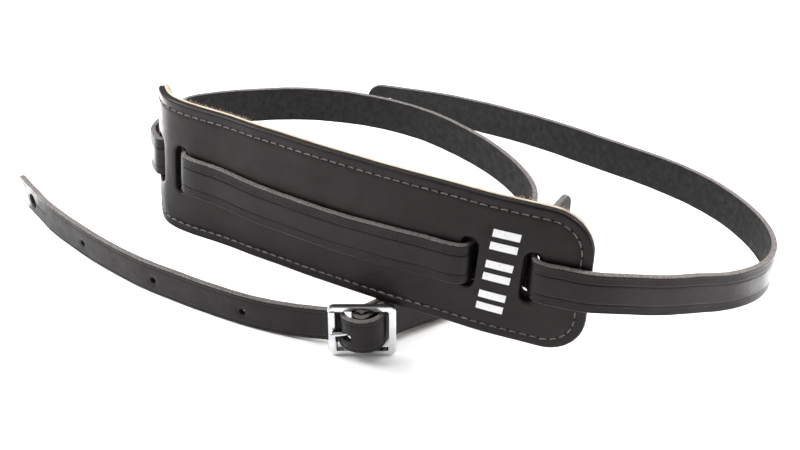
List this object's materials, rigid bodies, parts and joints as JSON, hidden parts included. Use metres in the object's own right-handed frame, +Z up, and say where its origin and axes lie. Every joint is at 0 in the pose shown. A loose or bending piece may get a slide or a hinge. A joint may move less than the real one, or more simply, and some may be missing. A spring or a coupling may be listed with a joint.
{
  "type": "guitar strap",
  "caption": "Black leather instrument strap lying in loops: long strap threaded through a stitched shoulder pad, adjuster strap with punched holes, small chrome roller buckle.",
  "frame": {"origin": "on the floor, under the middle of the whole strap's bounding box", "axes": "+Z up; the pad's front face looks towards -Y and the buckle's plane is parallel to XZ; +X towards the long strap's right-hand bend"},
  "size_m": [0.3684, 0.2628, 0.0945],
  "materials": {
    "strap_leather": "embossed satin bridle leather",
    "pad_leather": "smooth satin leather",
    "lining_suede": "undyed suede",
    "thread": "waxed thread",
    "chrome": "polished"
  },
  "bodies": {
    "strap": {"long_strap": "strap_leather", "adjuster_strap": "strap_leather", "pad_front_panel": "pad_leather", "pad_lining": "lining_suede", "pad_front_stitches": "thread", "pad_back_stitches": "thread", "fold_front_stitches": "thread", "fold_back_stitches": "thread"},
    "frame": {"buckle_frame": "chrome"},
    "roller": {"buckle_roller": "chrome"},
    "prong": {"buckle_prong": "chrome"}
  },
  "joints": [
    {"name": "buckle_rock", "type": "hinge", "parent": "strap", "child": "frame", "pos_m": [0.00195, -0.10049, 0.0132], "axis": [0, 0, 1], "range_deg": [-2, 2]},
    {"name": "roller_spin", "type": "hinge", "parent": "frame", "child": "roller", "pos_m": [-0.01085, -0.10049, 0.0132], "axis": [0, 0, 1], "continuous": true},
    {"name": "prong_pivot", "type": "hinge", "parent": "frame", "child": "prong", "pos_m": [0.00195, -0.10049, 0.0132], "axis": [0, 0, 1], "range_deg": [0, 4]}
  ]
}
